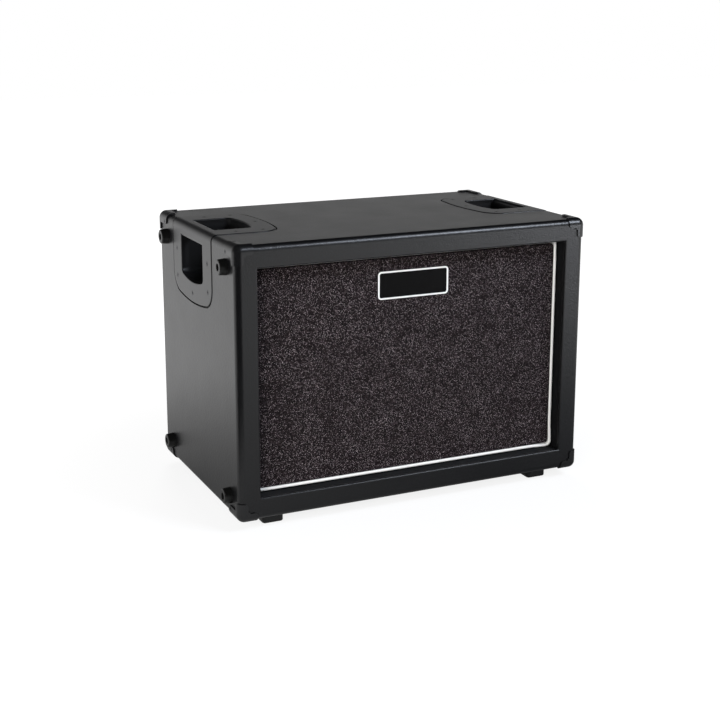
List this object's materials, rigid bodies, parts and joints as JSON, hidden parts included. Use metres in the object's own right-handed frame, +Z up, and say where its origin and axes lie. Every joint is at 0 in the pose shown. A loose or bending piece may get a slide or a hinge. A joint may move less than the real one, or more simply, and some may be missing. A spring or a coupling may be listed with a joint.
{
  "type": "guitar speaker cabinet",
  "caption": "Closed-back guitar speaker cabinet in black vinyl: recessed cloth grille with white piping, corner-bar handles, sprung driver cone, rear jack dish.",
  "frame": {"origin": "floor under the middle of the overall footprint, side feet included; the cabinet's own centre plane is x = 4.5 mm", "axes": "+Z up, grille faces -Y, +X to the right seen from the front"},
  "size_m": [0.553, 0.338, 0.397],
  "materials": {
    "vinyl": "grained black vinyl leathercloth, satin",
    "plywood": "birch plywood, bare inside",
    "pine": "planed softwood",
    "back_board": "plywood, textured black paint",
    "grille_board": "board, black stain",
    "grille_cloth": "woven grille cloth with pale flecks",
    "piping": "white vinyl bead",
    "hook_tape": "hook-and-loop tape",
    "badge_black": "gloss black",
    "badge_white": "white",
    "handle_plastic": "moulded black, fine grain",
    "corner_plastic": "moulded black, smooth",
    "foot_rubber": "moulded black",
    "black_screw": "black zinc",
    "zinc_steel": "bright zinc plate",
    "cup_black": "black plate",
    "seal_foam": "closed-cell foam strip",
    "basket_paint": "black powder coat",
    "gasket_board": "pressed board",
    "surround_paper": "doped pleated paper",
    "cone_paper": "pressed paper pulp",
    "coil_aluminium": "former with wound wire",
    "spider_cloth": "impregnated cloth",
    "magnet_steel": "zinc plate",
    "ferrite": "sintered ferrite",
    "terminal_board": "laminate with tinned tags",
    "tinsel": "braided copper tinsel",
    "dish_paint": "black powder coat",
    "jack_plastic": "moulded black",
    "nut_chrome": "nickel plate",
    "lead_rubber": "insulated wire"
  },
  "bodies": {
    "cabinet": {"back_panel": "back_board", "back_panel_cup_washers": "cup_black", "back_panel_screws": "black_screw", "back_seal": "seal_foam", "badge_plate": "badge_black", "badge_rim": "badge_white", "baffle_board": "plywood", "baffle_screws": "zinc_steel", "bottom_feet": "foot_rubber", "bottom_panel": "plywood", "corner_front_bottom_left": "corner_plastic", "corner_front_bottom_right": "corner_plastic", "corner_front_top_left": "corner_plastic", "corner_front_top_right": "corner_plastic", "corner_rear_bottom_left": "corner_plastic", "corner_rear_bottom_right": "corner_plastic", "corner_rear_top_left": "corner_plastic", "corner_rear_top_right": "corner_plastic", "corner_screws": "black_screw", "foot_screws": "zinc_steel", "front_rail_bottom": "pine", "front_rail_left": "pine", "front_rail_right": "pine", "front_rail_top": "pine", "grille_cloth": "grille_cloth", "grille_frame": "grille_board", "grille_hook_pads": "hook_tape", "grille_piping": "piping", "handle_screws": "black_screw", "input_jack": "jack_plastic", "jack_dish": "dish_paint", "jack_dish_screws": "black_screw", "jack_nuts": "nut_chrome", "left_handle": "handle_plastic", "left_panel": "plywood", "link_jack": "jack_plastic", "magnet_ring": "ferrite", "pole_yoke": "magnet_steel", "rear_cleat_bottom": "pine", "rear_cleat_left": "pine", "rear_cleat_right": "pine", "rear_cleat_top": "pine", "right_handle": "handle_plastic", "right_panel": "plywood", "side_feet": "foot_rubber", "speaker_basket": "basket_paint", "speaker_bolts": "zinc_steel", "speaker_gasket": "gasket_board", "speaker_leads": "lead_rubber", "speaker_surround": "surround_paper", "speaker_t_nuts": "zinc_steel", "speaker_terminals": "terminal_board", "spider": "spider_cloth", "tinsel_leads": "tinsel", "top_panel": "plywood", "top_plate": "magnet_steel", "vinyl_covering": "vinyl"},
    "moving_cone": {"speaker_cone": "cone_paper", "dust_cap": "cone_paper", "voice_coil": "coil_aluminium"}
  },
  "joints": [
    {"name": "cone_travel", "type": "slide", "parent": "cabinet", "child": "moving_cone", "axis": [0, -1, 0], "range_m": [-0.004, 0.004], "stiffness_N_per_m": 6000, "deforming": ["speaker_surround", "spider", "tinsel_leads"]}
  ]
}
